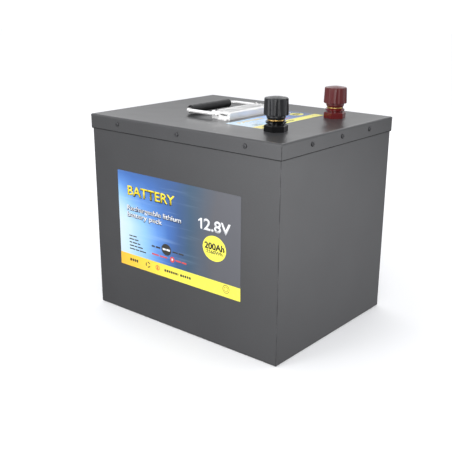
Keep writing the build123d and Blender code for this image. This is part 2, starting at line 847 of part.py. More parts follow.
foam_low = insulator_sheet_low + insulator_sheet
with BuildPart() as hold_down_foam:
    for x in foam_strip_places:
        with Locations((x, 0, foam_low)):
            Box(foam_strip_width, long_pad_width, lid_under - foam_low, align=LOW)
hold_down_foam.part.label = "hold_down_foam"
export_step(hold_down_foam.part, "parts/hold_down_foam.step")

# ---------------------------------------------------------------- battery management board
board_corner_radius = 3.0
fin_pitch = 8.0
fin_gap = 4.0
fin_depth = 3.0
connector_length = 20.0
connector_width = 8.0
connector_height = 7.0
standoff_radius = 3.0
screw_head = 2.8
board_corners = []
for side_y in (-1, 1):
    for side_z in (-1, 1):
        board_corners.append((side_y * board_hole_y, side_z * board_hole_z))


def upright(x):
    """The plane across X at x, whose own axes are +Y and +Z, centred on the board."""
    return Plane(origin=(x, 0, board_z), x_dir=(0, 1, 0), z_dir=(1, 0, 0))


with BuildPart() as bms_board:
    with BuildSketch(upright(board_low_x)):
        RectangleRounded(board_width, board_height, board_corner_radius)
        with Locations(*board_corners):
            Circle(m3_radius, mode=Mode.SUBTRACT)
    extrude(amount=board_thickness)
bms_board.part.label = "bms_board"
export_step(bms_board.part, "parts/bms_board.step")

with BuildPart() as bms_heatsink:
    with BuildSketch(upright(heatsink_low_x)):
        Rectangle(board_width, board_height)
        with Locations(*board_corners):
            Circle(m3_radius, mode=Mode.SUBTRACT)
    extrude(amount=heatsink_thickness)
    with BuildSketch(upright(heatsink_low_x)):
        with GridLocations(fin_pitch, 0, 9, 1):
            Rectangle(fin_gap, board_height)
    extrude(amount=fin_depth, mode=Mode.SUBTRACT)
bms_heatsink.part.label = "bms_heatsink"
export_step(bms_heatsink.part, "parts/bms_heatsink.step")

with BuildPart() as bms_mosfets:
    with BuildSketch(upright(board_low_x - mosfet_thickness)):
        with GridLocations(13, 40, 6, 2):
            Rectangle(10, 14)
    extrude(amount=mosfet_thickness)
bms_mosfets.part.label = "bms_mosfets"
export_step(bms_mosfets.part, "parts/bms_mosfets.step")

with BuildPart() as bms_connectors:
    with BuildSketch(upright(board_high_x)):
        with Locations((6, board_height / 2 - 6), (-20, -board_height / 2 + 8)):
            Rectangle(connector_length, connector_width)
    extrude(amount=connector_height)
bms_connectors.part.label = "bms_connectors"
export_step(bms_connectors.part, "parts/bms_connectors.step")

with BuildPart() as bms_standoffs:
    with BuildSketch(upright(partition_high_x)):
        with Locations(*board_corners):
            Circle(standoff_radius)
            Circle(m3_radius, mode=Mode.SUBTRACT)
    extrude(amount=standoff_length)
bms_standoffs.part.label = "bms_standoffs"
export_step(bms_standoffs.part, "parts/bms_standoffs.step")

with BuildPart() as bms_screws:
    with BuildSketch(upright(board_high_x)):
        with Locations(*board_corners):
            Circle(screw_head)
    extrude(amount=2.0)
    with BuildSketch(upright(board_high_x)):
        with Locations(*board_corners):
            Circle(m3_radius)
    extrude(amount=partition_high_x + 0.5 - board_high_x)
bms_screws.part.label = "bms_screws"
export_step(bms_screws.part, "parts/bms_screws.step")

# ---------------------------------------------------------------- cables
lug_pad_radius = 8.5
lug_tongue_width = 11.0
post_lug_thickness = 2.0
board_barrel_length = 20.0
output_barrel_length = 14.0
post_barrel_x = right_post_x + 10.0
post_tongue_end_x = right_post_x + 14.0
stud_barrel_x = terminal_x + 14.0
stud_barrel_low = stud_lug_low - 18.0
post_barrel_z = pad_top + lug_barrel_radius
post_barrel_end_x = right_post_x + 26.0
board_barrel_x = board_high_x + lug_barrel_radius
battery_exit = (board_barrel_x, -30.0, board_z + board_height / 2)
output_exit = (board_high_x + output_barrel_length, 20.0, 120.0)

# Crimp lugs: two on the studs with their barrels turned down, two on the end cells' posts,
# and two plain barrels soldered to the board.
with BuildPart() as cable_lugs:
    for x, y in terminal_places:
        with BuildSketch(Plane.XY.offset(stud_lug_low)):
            with Locations((x, y)):
                Circle(lug_pad_radius)
            with Locations(((x + stud_barrel_x) / 2, y)):
                Rectangle(stud_barrel_x - x, lug_tongue_width)
            with Locations((stud_barrel_x, y)):
                Circle(lug_barrel_radius)
            with Locations((x, y)):
                Circle(stud_radius, mode=Mode.SUBTRACT)
        extrude(amount=lug_thickness)
        with BuildSketch(Plane.XY.offset(stud_lug_low)):
            with Locations((stud_barrel_x, y)):
                Circle(lug_barrel_radius)
        extrude(amount=stud_barrel_low - stud_lug_low)
    for y in (cell_y[0], cell_y[3]):
        with BuildSketch(Plane.XY.offset(pad_top)):
            with Locations((right_post_x, y)):
                Circle(lug_pad_radius)
            with Locations(((right_post_x + post_tongue_end_x) / 2, y)):
                Rectangle(post_tongue_end_x - right_post_x, lug_tongue_width)
            with Locations((right_post_x, y)):
                Circle(m6_radius, mode=Mode.SUBTRACT)
        extrude(amount=post_lug_thickness)
        with BuildSketch(Plane(origin=(post_barrel_x, y, post_barrel_z), z_dir=(1, 0, 0))):
            Circle(lug_barrel_radius)
        extrude(amount=post_barrel_end_x - post_barrel_x)
    with BuildSketch(Plane(origin=battery_exit, z_dir=(0, 0, 1))):
        Circle(lug_barrel_radius)
    extrude(amount=-board_barrel_length)
    with BuildSketch(Plane(origin=output_exit, z_dir=(1, 0, 0))):
        Circle(lug_barrel_radius)
    extrude(amount=-output_barrel_length)
cable_lugs.part.label = "cable_lugs"
export_step(cable_lugs.part, "parts/cable_lugs.step")

# Each cable leaves its lugs in line with their barrels.
positive_route = [
    (stud_barrel_x, terminal_y, stud_barrel_low),
    (stud_barrel_x, terminal_y, 140),
    (60, cell_y[3] - 4, 138),
    (62, cell_y[3], post_barrel_z),
    (post_barrel_end_x, cell_y[3], post_barrel_z),
]
with BuildPart() as positive_cable:
    add(rod(positive_route, [24, 24, 13], cable_radius))
positive_cable.part.label = "positive_cable"
export_step(positive_cable.part, "parts/positive_cable.step")

battery_negative_route = [
    battery_exit,
    (battery_exit[0], battery_exit[1], post_barrel_z),
    (62, cell_y[0], post_barrel_z),
    (post_barrel_end_x, cell_y[0], post_barrel_z),
]
with BuildPart() as battery_negative_cable:
    add(rod(battery_negative_route, [14, 13], cable_radius))
battery_negative_cable.part.label = "battery_negative_cable"
export_step(battery_negative_cable.part, "parts/battery_negative_cable.step")

output_negative_route = [
    output_exit,
    (stud_barrel_x, output_exit[1], output_exit[2]),
    (stud_barrel_x, -terminal_y, 128),
    (stud_barrel_x, -terminal_y, stud_barrel_low),
]
with BuildPart() as output_negative_cable:
    add(rod(output_negative_route, [22, 30], cable_radius))
output_negative_cable.part.label = "output_negative_cable"
export_step(output_negative_cable.part, "parts/output_negative_cable.step")

# Thin sensing leads from each joint of the string to the board's upper connector.
lead_z = busbar_top + lead_radius
connector_top = board_z + board_height / 2 - 2
lead_x = board_high_x + 3.5
lead_first_y = -1.5
lead_pitch = 3.0
lead_bend = 3.0
lane_x = 26.0
sensor_x = -44.0
sensor_y = 40.0
lead_starts = [
    (right_post_x, cell_y[0] + 7.0, lead_z),
    (left_post_x + 4, busbar_places[0][1], lead_z),
    (right_post_x + 4, 0, lead_z),
    (sensor_x + 4.2, sensor_y, lead_z),
    (left_post_x + 4, busbar_places[2][1], lead_z),
    (right_post_x, cell_y[3] - 7.0, lead_z),
]
with BuildPart() as balance_leads:
    for index, start in enumerate(lead_starts):
        end_y = lead_first_y + lead_pitch * index
        lane_y = start[1] * 0.85
        lead_end = (lead_x, end_y, connector_top)
        lead_route = [start, (lane_x, lane_y, lead_z), (lead_x, end_y, lead_z), lead_end]
        add(rod(lead_route, [lead_bend, lead_bend], lead_radius))
balance_leads.part.label = "balance_leads"
export_step(balance_leads.part, "parts/balance_leads.step")

# Bead thermistor glued on top of a cell.
sensor_length = 8.0
sensor_width = 6.0
with BuildPart() as temperature_sensor:
    with Locations((sensor_x, sensor_y, cell_top)):
        Box(sensor_length, sensor_width, sensor_width, align=LOW)
    fillet(temperature_sensor.faces().sort_by(Axis.Z)[-1].edges(), sensor_width / 4)
temperature_sensor.part.label = "temperature_sensor"
export_step(temperature_sensor.part, "parts/temperature_sensor.step")
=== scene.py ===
import json
import math

import bmesh
import bpy
from mathutils import Matrix, Vector
from mathutils import noise as perlin


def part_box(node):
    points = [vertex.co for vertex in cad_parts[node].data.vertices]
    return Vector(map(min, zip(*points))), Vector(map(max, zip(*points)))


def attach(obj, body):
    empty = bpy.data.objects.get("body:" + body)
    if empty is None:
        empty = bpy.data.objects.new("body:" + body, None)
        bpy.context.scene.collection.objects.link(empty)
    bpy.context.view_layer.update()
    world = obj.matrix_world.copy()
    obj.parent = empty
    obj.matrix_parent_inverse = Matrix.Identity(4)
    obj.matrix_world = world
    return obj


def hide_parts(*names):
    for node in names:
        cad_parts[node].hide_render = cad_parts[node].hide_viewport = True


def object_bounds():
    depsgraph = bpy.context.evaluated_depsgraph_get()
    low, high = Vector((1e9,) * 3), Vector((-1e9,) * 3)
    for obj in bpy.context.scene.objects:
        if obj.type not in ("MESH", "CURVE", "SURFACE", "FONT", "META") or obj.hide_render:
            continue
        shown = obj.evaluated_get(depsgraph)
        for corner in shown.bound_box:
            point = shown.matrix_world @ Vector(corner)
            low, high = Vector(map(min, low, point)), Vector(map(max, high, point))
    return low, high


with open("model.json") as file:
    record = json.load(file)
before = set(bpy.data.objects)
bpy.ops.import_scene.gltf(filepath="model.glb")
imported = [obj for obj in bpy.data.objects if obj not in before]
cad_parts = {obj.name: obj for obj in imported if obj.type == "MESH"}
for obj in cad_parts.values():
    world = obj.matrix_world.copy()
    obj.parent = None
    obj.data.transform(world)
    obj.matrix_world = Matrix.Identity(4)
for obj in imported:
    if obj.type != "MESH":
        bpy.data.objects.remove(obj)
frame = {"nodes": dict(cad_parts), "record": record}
cad_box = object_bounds()

MM = 0.001


def toward(azimuth, elevation):
    """The unit vector towards a compass direction, with 0 at -Y and 90 at +X, and a height angle."""
    turn, tilt = math.radians(azimuth), math.radians(elevation)
    return Vector((math.sin(turn) * math.cos(tilt), -math.cos(turn) * math.cos(tilt), math.sin(tilt)))


# ---------------------------------------------------------------- camera
# The camera looks at the near corner from a little above the lid. Its angles are in degrees. Its
# place is in metres from the middle of the closed box, along the camera's own right, up and
# backward directions. The lens and the sensor are in millimetres, and the shift is a share of the
# picture's width.
view_azimuth = 39.45
view_elevation = 18.64
view_roll = 0.38
camera_right = -0.0067
camera_up = -0.0354
camera_back = 0.9866
camera_sensor = 36
camera_lens = 59.64
camera_shift_x = -0.02
camera_shift_y = 0.03
camera_clip_start = 0.01


def place_camera():
    low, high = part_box("lid")
    target = Vector(((low.x + high.x) / 2, (low.y + high.y) / 2, high.z / 2))
    azimuth, roll = math.radians(view_azimuth), math.radians(view_roll)
    back = toward(view_azimuth, view_elevation)
    level = Vector((math.cos(azimuth), math.sin(azimuth), 0))
    upright = back.cross(level)
    right = level * math.cos(roll) + upright * math.sin(roll)
    up = upright * math.cos(roll) - level * math.sin(roll)
    data = bpy.data.cameras.new("camera")
    data.sensor_width = camera_sensor
    data.lens = camera_lens
    data.shift_x = camera_shift_x
    data.shift_y = camera_shift_y
    data.clip_start = camera_clip_start
    camera = bpy.data.objects.new("camera", data)
    turn = Matrix((right, up, back)).transposed().to_4x4()
    camera.matrix_world = Matrix.Translation(
        target + right * camera_right + up * camera_up + back * camera_back
    ) @ turn
    bpy.context.scene.collection.objects.link(camera)
    bpy.context.scene.camera = camera


# ---------------------------------------------------------------- shader helpers
# The Mix node's colour sockets share their names with its number and vector ones, so they are
# taken by their places.
mix_colour_a = 6
mix_colour_b = 7
mix_colour_result = 2
# Most of a noise texture's values lie between these two.
noise_low = 0.3
noise_high = 0.7


class Finish:
    """A material being built: its Principled shader, and short ways to make the nodes that feed it."""

    def __init__(self, name, **constants):
        self.material = bpy.data.materials.new(name)
        self.material.use_nodes = True
        self.tree = self.material.node_tree
        self.shader = self.tree.nodes["Principled BSDF"]
        for socket, value in constants.items():
            self.shader.inputs[socket.replace("_", " ")].default_value = value
        self.place = self.tree.nodes.new("ShaderNodeTexCoord").outputs["Object"]

    def node(self, kind, inputs, **settings):
        made = self.tree.nodes.new(kind)
        for setting, value in settings.items():
            setattr(made, setting, value)
        for socket, value in inputs.items():
            self.feed(made.inputs[socket], value)
        return made

    def feed(self, socket, value):
        if isinstance(value, bpy.types.NodeSocket):
            self.tree.links.new(value, socket)
        else:
            socket.default_value = value

    def colour(self, value):
        self.feed(self.shader.inputs["Base Color"], value)

    def roughness(self, value):
        self.feed(self.shader.inputs["Roughness"], value)

    def uneven_roughness(self, noise, low, high):
        """Roughness that follows a noise texture from low to high."""
        self.roughness(self.span(noise, noise_low, noise_high, low, high))

    def noise(self, scale, detail=2.0, stretch=(1, 1, 1)):
        mapping = self.node("ShaderNodeMapping", {"Vector": self.place, "Scale": stretch})
        inputs = {"Vector": mapping.outputs["Vector"], "Scale": scale, "Detail": detail}
        return self.node("ShaderNodeTexNoise", inputs).outputs["Fac"]

    def cells(self, scale):
        """The distance to the nearest of many scattered points."""
        made = self.node("ShaderNodeTexVoronoi", {"Vector": self.place, "Scale": scale}, feature="F1")
        return made.outputs["Distance"]

    def axis(self, name):
        return self.node("ShaderNodeSeparateXYZ", {"Vector": self.place}).outputs[name]

    def math(self, operation, a, b=0.0, clamp=False):
        made = self.node("ShaderNodeMath", {0: a, 1: b}, operation=operation, use_clamp=clamp)
        return made.outputs["Value"]

    def span(self, value, low, high, to_low=0.0, to_high=1.0):
        inputs = {"Value": value, "From Min": low, "From Max": high, "To Min": to_low, "To Max": to_high}
        return self.node("ShaderNodeMapRange", inputs, clamp=True).outputs["Result"]

    def mix(self, factor, a, b):
        inputs = {"Factor": factor, mix_colour_a: a, mix_colour_b: b}
        return self.node("ShaderNodeMix", inputs, data_type="RGBA").outputs[mix_colour_result]

    def ramp(self, value, stops):
        made = self.node("ShaderNodeValToRGB", {"Fac": value})
        elements = made.color_ramp.elements
        for position, _ in stops[2:]:
            elements.new(position)
        for element, (position, colour) in zip(elements, sorted(stops)):
            element.position = position
            element.color = (*colour, 1)
        return made.outputs["Color"]

    def bump(self, height, depth):
        made = self.node("ShaderNodeBump", {"Height": height, "Distance": depth, "Strength": 1.0})
        self.feed(self.shader.inputs["Normal"], made.outputs["Normal"])

    def corner_mask(self, radius):
        """0 on flat surfaces and up to 1 where the surface turns a corner within the radius."""
        rounded = self.node("ShaderNodeBevel", {"Radius": radius}, samples=4).outputs["Normal"]
        flat = self.node("ShaderNodeNewGeometry", {}).outputs["Normal"]
        alike = self.node("ShaderNodeVectorMath", {0: rounded, 1: flat}, operation="DOT_PRODUCT")
        return self.span(alike.outputs["Value"], 0.995, 0.85)


def linear_channel(display):
    """One channel of an sRGB colour, 0 to 1, by the standard's own curve."""
    if display <= 0.04045:
        return display / 12.92
    return ((display + 0.055) / 1.055) ** 2.4


def linear(red, green, blue):
    """A colour given as 0 to 255 display values, as the linear values that a shader takes."""
    return tuple(linear_channel(channel / 255) for channel in (red, green, blue))


def rgba(*display):
    return (*linear(*display), 1)


# ---------------------------------------------------------------- finishes of the outside
def powder_coat():
    """Satin dark grey paint with a fine grain and a slight mottle, and a lighter grey painted on its edges in
    patches as a painted highlight.
    """
    coat = Finish("powder_coat", IOR=1.5)
    mottle = coat.noise(14, 4)
    grain = coat.noise(900, 2)
    base = coat.mix(mottle, rgba(61, 61, 62), rgba(69, 69, 70))
    speckle = coat.span(coat.noise(700, 2), 0.45, 0.85, 0, 0.2)
    base = coat.mix(speckle, base, rgba(84, 84, 85))
    # A lighter grey painted on the edges in patches: a painted highlight where the edges catch the light.
    edge_highlight = coat.math("MULTIPLY", coat.corner_mask(0.9 * MM), coat.span(coat.noise(55, 5), 0.42, 0.7))
    base = coat.mix(coat.math("MULTIPLY", edge_highlight, 0.5), base, rgba(128, 128, 129))
    coat.colour(base)
    coat.roughness(coat.span(coat.noise(38, 2), 0.1, 0.9, 0.28, 0.33))
    coat.bump(grain, 0.012 * MM)
    return coat.material


def chrome():
    """Bright plate that is a little wavy and finely scratched. It is only partly metal: the rest is
    near-white colour, a painted reflection of the bright room.
    """
    plate = Finish("chrome", Metallic=0.45)
    # The plate is only partly metal, so this near-white colour is partly a painted reflection that keeps it
    # bright whatever it faces.
    plate.colour(plate.mix(plate.noise(70, 3), rgba(244, 243, 241), rgba(254, 253, 251)))
    scratches = plate.noise(260, 4, stretch=(1, 0.08, 1))
    plate.roughness(plate.span(scratches, 0.3, 0.75, 0.12, 0.3))
    waves = plate.math("ADD", plate.noise(110, 3), plate.math("MULTIPLY", scratches, 0.06))
    plate.bump(waves, 0.55 * MM)
    return plate.material


def sleeve_vinyl():
    """Satin black vinyl with pores and faint lengthwise marks."""
    vinyl = Finish("grip_vinyl", IOR=1.5, Specular_IOR_Level=0.4)
    vinyl.colour(vinyl.mix(vinyl.noise(45, 4), rgba(14, 14, 15), rgba(24, 24, 25)))
    vinyl.uneven_roughness(vinyl.noise(160, 4), 0.42, 0.58)
    pores = vinyl.math("ADD", vinyl.cells(1500), vinyl.noise(420, 3, stretch=(1, 0.15, 1)))
    vinyl.bump(pores, 0.05 * MM)
    return vinyl.material


def moulded(name, dark, light, rough_low, rough_high, specular=0.5):
    """Semi-gloss moulded plastic, with faint flow marks and a fine moulded texture."""
    plastic = Finish(name, IOR=1.5, Specular_IOR_Level=specular)
    plastic.colour(plastic.mix(plastic.noise(120, 4, stretch=(1, 1, 0.3)), dark, light))
    plastic.uneven_roughness(plastic.noise(300, 4), rough_low, rough_high)
    plastic.bump(plastic.noise(1900, 2), 0.012 * MM)
    return plastic.material


def turned_metal(name, dark, light, rough_low, rough_high):
    """Metal with the fine rings that a lathe leaves, square to the terminals' upright axes."""
    metal = Finish(name, Metallic=1.0)
    rings = metal.noise(2400, 2, stretch=(0.02, 0.02, 1))
    metal.colour(metal.mix(metal.noise(90, 4), dark, light))
    metal.uneven_roughness(rings, rough_low, rough_high)
    metal.bump(rings, 0.03 * MM)
    return metal.material


def black_oxide():
    oxide = Finish("black_screw", Metallic=0.35)
    oxide.colour(oxide.mix(oxide.noise(400, 3), rgba(52, 52, 53), rgba(74, 74, 76)))
    oxide.uneven_roughness(oxide.noise(900, 3), 0.3, 0.5)
    oxide.bump(oxide.noise(2200, 2), 0.02 * MM)
    return oxide.material


# The printed film fades from icy white through sky blue to the slate grey of the box.
label_fade = [
    (0.00, linear(214, 232, 242)),
    (0.12, linear(198, 228, 245)),
    (0.26, linear(148, 200, 244)),
    (0.38, linear(98, 150, 222)),
    (0.50, linear(66, 112, 184)),
    (0.62, linear(56, 90, 140)),
    (0.74, linear(58, 86, 112)),
    (0.86, linear(78, 88, 102)),
    (0.97, linear(88, 89, 95)),
]


def label_film(name, across, start, length, upward, foot, height, reach, tint):
    """A printed label. Its artwork runs along the across axis from start, and along the upward axis
    from foot, where a negative height runs against the axis. reach is how much of the fade the
    label spans, and tint is how far along the fade its upper left corner is moved."""
    film = Finish(name, IOR=1.48, Coat_Weight=0.35, Coat_Roughness=0.18)
    u = film.span(film.axis(across), start, start + length)
    v = film.span(film.axis(upward), foot, foot + height)
    corner = film.math("MULTIPLY", film.span(v, 0.45, 1.0, 0, tint), film.span(u, 0, 0.5, 1, 0))
    drift = film.span(film.noise(9, 3), noise_low, noise_high, -0.05, 0.05)
    place = film.math("ADD", film.math("MULTIPLY", u, reach), film.math("ADD", corner, drift), clamp=True)
    base = film.ramp(place, label_fade)
    slant = (0, math.radians(14), 0)
    slanted = film.node("ShaderNodeMapping", {"Vector": film.place, "Rotation": slant, "Scale": (3, 3, 60)})
    inputs = {"Vector": slanted.outputs["Vector"], "Scale": 4.0, "Detail": 4.0}
    streaks = film.node("ShaderNodeTexNoise", inputs).outputs["Fac"]
    shine = film.math("MULTIPLY", film.span(streaks, 0.56, 0.72, 0, 0.14), film.span(u, 0.75, 0.45))
    film.colour(film.mix(shine, base, rgba(196, 226, 250)))
    film.uneven_roughness(film.noise(80, 4), 0.28, 0.38)
    film.bump(film.noise(700, 3), 0.012 * MM)
    return film.material


def ink(name, colour, second, axis, low, high):
    """Printed ink that goes from one colour to another along an axis, with a slight unevenness."""
    printed = Finish(name, IOR=1.48, Coat_Weight=0.3, Coat_Roughness=0.2)
    across = printed.span(printed.axis(axis), low, high)
    base = printed.mix(across, colour, second)
    faded = printed.mix(0.12, base, rgba(150, 150, 150))
    printed.colour(printed.mix(printed.span(printed.noise(220, 4), 0.5, 0.8), base, faded))
    printed.uneven_roughness(printed.noise(90, 4), 0.3, 0.42)
    printed.bump(printed.noise(900, 2), 0.008 * MM)
    return printed.material


# ---------------------------------------------------------------- finishes of the inside
def sheet_metal(name, dark, light, rough_low, rough_high):
    """Rolled metal with fine marks along Y."""
    metal = Finish(name, Metallic=1.0)
    marks = metal.noise(900, 4, stretch=(1, 0.05, 1))
    metal.colour(metal.mix(metal.noise(60, 4), dark, light))
    metal.uneven_roughness(marks, rough_low, rough_high)
    metal.bump(marks, 0.02 * MM)
    return metal.material


def cell_wrap():
    """Blue film shrunk over a cell's can, with faint creases."""
    wrap = Finish("cell_film", IOR=1.5, Coat_Weight=0.5, Coat_Roughness=0.15)
    wrap.colour(wrap.mix(wrap.noise(22, 4), rgba(28, 78, 168), rgba(44, 104, 196)))
    creases = wrap.noise(60, 5, stretch=(1, 1, 0.2))
    wrap.uneven_roughness(creases, 0.22, 0.4)
    wrap.bump(creases, 0.3 * MM)
    return wrap.material


def foam():
    """Closed-cell foam, darker in its pores."""
    block = Finish("foam", IOR=1.4)
    pores = block.cells(900)
    block.colour(block.mix(block.span(pores, 0.1, 0.6), rgba(34, 34, 35), rgba(66, 66, 68)))
    block.uneven_roughness(block.noise(200, 3), 0.85, 0.97)
    block.bump(pores, 0.25 * MM)
    return block.material


def laminate(name, dark, light, weave_scale, rough):
    """Glass cloth in resin: two crossed sets of fibres show through the surface."""
    board = Finish(name, IOR=1.55)
    warp = board.noise(weave_scale, 2, stretch=(1, 1, 0.05))
    weft = board.noise(weave_scale, 2, stretch=(1, 0.05, 1))
    weave = board.math("MULTIPLY", warp, weft)
    board.colour(board.mix(board.span(weave, 0.12, 0.4), dark, light))
    board.uneven_roughness(board.noise(150, 3), rough, rough + 0.12)
    board.bump(weave, 0.04 * MM)
    return board.material


def clear_sheet():
    """A see-through plastic sheet."""
    sheet = Finish("clear_sheet", IOR=1.58, Alpha=0.35)
    sheet.colour(sheet.mix(sheet.noise(30, 3), rgba(206, 216, 222), rgba(226, 234, 238)))
    sheet.uneven_roughness(sheet.noise(300, 5), 0.08, 0.2)
    sheet.bump(sheet.noise(25, 3), 0.1 * MM)
    return sheet.material


def insulation(name, dark, light):
    """Soft satin rubber with a fine, slightly mottled surface, for the cables and the seal."""
    rubber = Finish(name, IOR=1.43)
    rubber.colour(rubber.mix(rubber.noise(60, 4), dark, light))
    rubber.uneven_roughness(rubber.noise(240, 4), 0.45, 0.62)
    rubber.bump(rubber.noise(800, 3), 0.04 * MM)
    return rubber.material


def make_finishes():
    """The finish of each of the record's slots but the labels', and those of the two glossy feet."""
    return {
        "powder_coat": powder_coat(),
        "chrome": chrome(),
        "grip_vinyl": sleeve_vinyl(),
        "black_screw": black_oxide(),
        "seal_rubber": insulation("seal_rubber", rgba(8, 8, 8), rgba(16, 16, 16)),
        "black_plastic": moulded("black_plastic", rgba(17, 18, 20), rgba(27, 28, 31), 0.32, 0.4, 0.42),
        "black_foot": moulded("black_foot", rgba(7, 7, 8), rgba(12, 12, 13), 0.07, 0.13, 0.24),
        "red_plastic": moulded("red_plastic", rgba(84, 26, 28), rgba(98, 34, 35), 0.28, 0.38, 0.34),
        "red_foot": moulded("red_foot", rgba(86, 17, 18), rgba(100, 23, 24), 0.1, 0.18, 0.34),
        "brass": turned_metal("brass", rgba(184, 150, 88), rgba(204, 172, 108), 0.28, 0.42),
        "steel": turned_metal("steel", rgba(178, 180, 184), rgba(204, 205, 208), 0.26, 0.42),
        "cell_film": cell_wrap(),
        "aluminium": sheet_metal("aluminium", rgba(206, 208, 212), rgba(226, 228, 230), 0.3, 0.46),
        "copper": sheet_metal("copper", rgba(206, 128, 92), rgba(226, 150, 112), 0.22, 0.38),
        "foam": foam(),
        "epoxy_sheet": laminate("epoxy_sheet", rgba(150, 164, 112), rgba(176, 188, 136), 900, 0.35),
        "board": laminate("board", rgba(14, 82, 48), rgba(24, 108, 64), 1100, 0.3),
        "clear_sheet": clear_sheet(),
        "chip": moulded("chip", rgba(30, 30, 31), rgba(44, 44, 45), 0.5, 0.62),
        "nylon": moulded("nylon", rgba(222, 218, 208), rgba(236, 233, 224), 0.4, 0.52),
        "black_cable": insulation("black_cable", rgba(24, 24, 25), rgba(36, 36, 37)),
        "red_cable": insulation("red_cable", rgba(150, 18, 20), rgba(172, 26, 28)),
    }


def node_slots():
    """The record's slot of each CAD node."""
    slots = {}
    for subpart in frame["record"]["subparts"]:
        slots[subpart["node"]] = subpart["material_slot"]
    return slots


# ---------------------------------------------------------------- mesh helpers
def new_piece(name, mesh, body, material, replaced=()):
    """An object that rides on a body, and stands for the CAD nodes it replaces, if any."""
    mesh.materials.clear()
    mesh.materials.append(material)
    piece = bpy.data.objects.new(name, mesh)
    bpy.context.scene.collection.objects.link(piece)
    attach(piece, body)
    if replaced:
        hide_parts(*replaced)
    return piece


def grid_mesh(name, rings, closed_ends=True):
    """A tube through rings of points, each ring closed on itself, with flat ends if asked."""
    shape = bmesh.new()
    loops = [[shape.verts.new(point) for point in ring] for ring in rings]
    count = len(rings[0])
    for lower, upper in zip(loops, loops[1:]):
        for i in range(count):
            face = shape.faces.new((lower[i], lower[(i + 1) % count], upper[(i + 1) % count], upper[i]))
            face.smooth = True
    if closed_ends:
        shape.faces.new(list(reversed(loops[0])))
        shape.faces.new(loops[-1])
    bmesh.ops.recalc_face_normals(shape, faces=shape.faces)
    mesh = bpy.data.meshes.new(name)
    shape.to_mesh(mesh)
    shape.free()
    return mesh


# ---------------------------------------------------------------- grip sleeve
sleeve_segments = 56
sleeve_turns = [2 * math.pi * i / sleeve_segments for i in range(sleeve_segments)]
sleeve_steps = 90
sleeve_inset = 0.14 * MM
sleeve_rounding = 0.8 * MM
sleeve_least_wall = 0.4 * MM
sleeve_weld = 0.001 * MM
lip_from_end = 1.6 * MM
lip_width = 1.2 * MM
lip_height = 0.12 * MM
sleeve_unevenness = 0.05 * MM
lumps_around = 1.1
lumps_along = 90


def sleeve_radius(along, half_length, outer, turn):
    """The sleeve's outer radius: rounded ends with a raised lip, and a slight unevenness between."""
    from_end = half_length - abs(along)
    radius = outer - sleeve_inset
    if from_end < sleeve_rounding:
        fall = max(sleeve_rounding**2 - (sleeve_rounding - from_end) ** 2, 0)
        radius -= sleeve_rounding - math.sqrt(fall)
    lip = math.exp(-(((from_end - lip_from_end) / lip_width) ** 2))
    lump = Vector((math.cos(turn) * lumps_around, along * lumps_along, math.sin(turn) * lumps_around))
    return radius + lip_height * lip + sleeve_unevenness * perlin.noise(lump)


def sleeve_ring(centre, along, radii):
    """A ring of points square to Y, with a radius for each of the sleeve's turns."""
    return [
        centre + Vector((radius * math.cos(turn), along, radius * math.sin(turn)))
        for turn, radius in zip(sleeve_turns, radii)
    ]


def grip_sleeve(material):
    low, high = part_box("handle_grip")
    centre = (low + high) / 2
    half_length = (high.y - low.y) / 2
    outer = (high.z - low.z) / 2
    wire_low, wire_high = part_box("handle_bail")
    wire = (wire_high.z - wire_low.z) / 2
    least = wire + sleeve_least_wall
    rings = []
    for step in range(sleeve_steps + 1):
        along = half_length * math.sin((step / sleeve_steps - 0.5) * math.pi)
        radii = [max(sleeve_radius(along, half_length, outer, turn), least) for turn in sleeve_turns]
        rings.append(sleeve_ring(centre, along, radii))
    bore = [sleeve_ring(centre, end * half_length, [wire] * sleeve_segments) for end in (1, -1)]
    mesh = grid_mesh("grip_sleeve", rings + bore + rings[:1], closed_ends=False)
    shape = bmesh.new()
    shape.from_mesh(mesh)
    bmesh.ops.remove_doubles(shape, verts=shape.verts, dist=sleeve_weld)
    bmesh.ops.recalc_face_normals(shape, faces=shape.faces)
    shape.to_mesh(mesh)
    shape.free()
    new_piece("grip_sleeve", mesh, "bail", material, ["handle_grip"])


# ---------------------------------------------------------------- threaded studs
thread_radius = 4.0 * MM
thread_pitch = 1.25 * MM
thread_depth = 0.68 * MM
thread_steepness = 2.2
thread_segments = 32
thread_rings_per_pitch = 6
stud_body_radius = 6.0 * MM
stud_body_rise = 2.0 * MM
stud_washer_gap = 0.1 * MM
stud_tip = 0.8 * MM


def stud_outline(pole):
    """(height, radius, threaded) steps of a stud, read from its CAD box and the parts that sit on it."""
    stud_low, stud_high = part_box(f"{pole}_stud")
    lid_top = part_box("lid")[1].z
    base_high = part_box(f"{pole}_base")[1].z
    washer_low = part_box(f"{pole}_clamp_washer")[0].z
    shoulder = (stud_high.x - stud_low.x) / 2
    return [
        (stud_low.z, thread_radius, True),
        (lid_top + stud_body_rise, stud_body_radius, False),
        (base_high, shoulder, False),
        (washer_low - stud_washer_gap, thread_radius, True),
        (stud_high.z, None, False),
    ]


def threaded_radius(height, turn, low, high, crest):
    """The radius of a single-start thread that fades out at both ends of its stretch."""
    phase = (height / thread_pitch - turn / (2 * math.pi)) % 1.0
    ridge = min(1.0, thread_steepness * (1 - abs(2 * phase - 1)))
    run_out = min(1.0, (height - low) / thread_pitch, (high - height) / thread_pitch)
    return crest - thread_depth * (1 - ridge) * max(run_out, 0)


